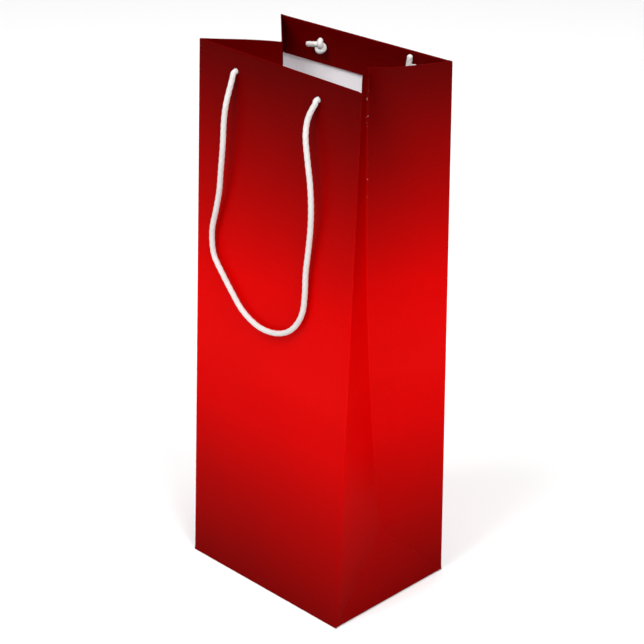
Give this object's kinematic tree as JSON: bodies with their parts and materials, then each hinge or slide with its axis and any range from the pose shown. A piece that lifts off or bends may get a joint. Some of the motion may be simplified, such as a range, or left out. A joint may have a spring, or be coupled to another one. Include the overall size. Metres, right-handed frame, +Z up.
{
  "type": "gift bag",
  "caption": "Tall narrow paper gift bag for a bottle, with gusseted sides, a boarded hem and base, and knotted rope handles that swing.",
  "frame": {"origin": "centre of the base, on the surface that the bag stands on", "axes": "+Z up to the mouth; the front wall faces -Y and the back wall +Y; +X to the right seen from the front"},
  "size_m": [0.13, 0.096, 0.3448],
  "materials": {
    "printed_paper": "glossy laminate over a printed red fade, dark at the mouth and base and bright in the middle; white on the inside",
    "white_paper": "matt uncoated white, the back of the printed paper",
    "grey_board": "matt grey-brown chipboard",
    "cotton_rope": "off-white laid cotton rope"
  },
  "bodies": {
    "base": {"base_board": "grey_board", "bottom_flap_front": "printed_paper", "bottom_flap_back": "printed_paper", "bottom_flap_right": "printed_paper", "bottom_flap_left": "printed_paper", "gusset_right_base": "printed_paper", "gusset_left_base": "printed_paper", "gusset_right_front": "printed_paper", "gusset_right_rear": "printed_paper", "gusset_left_front": "printed_paper", "gusset_left_rear": "printed_paper", "hem_right_front": "printed_paper", "hem_right_rear": "printed_paper", "hem_left_front": "printed_paper", "hem_left_rear": "printed_paper"},
    "front_wall": {"front_panel": "printed_paper", "hem_front": "printed_paper", "top_board_front": "grey_board", "knot_front_left": "cotton_rope", "knot_front_right": "cotton_rope"},
    "back_wall": {"back_panel": "printed_paper", "hem_back": "printed_paper", "top_board_back": "grey_board", "side_seam_tab": "white_paper", "knot_back_left": "cotton_rope", "knot_back_right": "cotton_rope"},
    "front_handle": {"handle_front": "cotton_rope"},
    "back_handle": {"handle_back": "cotton_rope"}
  },
  "joints": [
    {"name": "mouth_front", "type": "hinge", "parent": "base", "child": "front_wall", "pos_m": [0, -0.048, 0], "axis": [1, 0, 0], "range_deg": [-3, 2.2], "stiffness_Nm_per_rad": 0.2, "springref_deg": 0.4, "deforming": ["gusset_right_front", "gusset_left_front", "hem_right_front", "hem_left_front"]},
    {"name": "mouth_back", "type": "hinge", "parent": "base", "child": "back_wall", "pos_m": [0, 0.048, 0], "axis": [-1, 0, 0], "range_deg": [-3, 2.2], "stiffness_Nm_per_rad": 0.2, "springref_deg": 0.29, "deforming": ["gusset_right_rear", "gusset_left_rear", "hem_right_rear", "hem_left_rear"]},
    {"name": "front_handle_swing", "type": "hinge", "parent": "front_wall", "child": "front_handle", "pos_m": [0, -0.03575, 0.3323], "axis": [-1, 0, 0], "range_deg": [0, 165]},
    {"name": "back_handle_swing", "type": "hinge", "parent": "back_wall", "child": "back_handle", "pos_m": [0, 0.04155, 0.33246], "axis": [1, 0, 0], "range_deg": [0, 165]}
  ],
  "couplings": [
    {"joint": "mouth_back", "follows": "mouth_front", "ratio": 1}
  ]
}
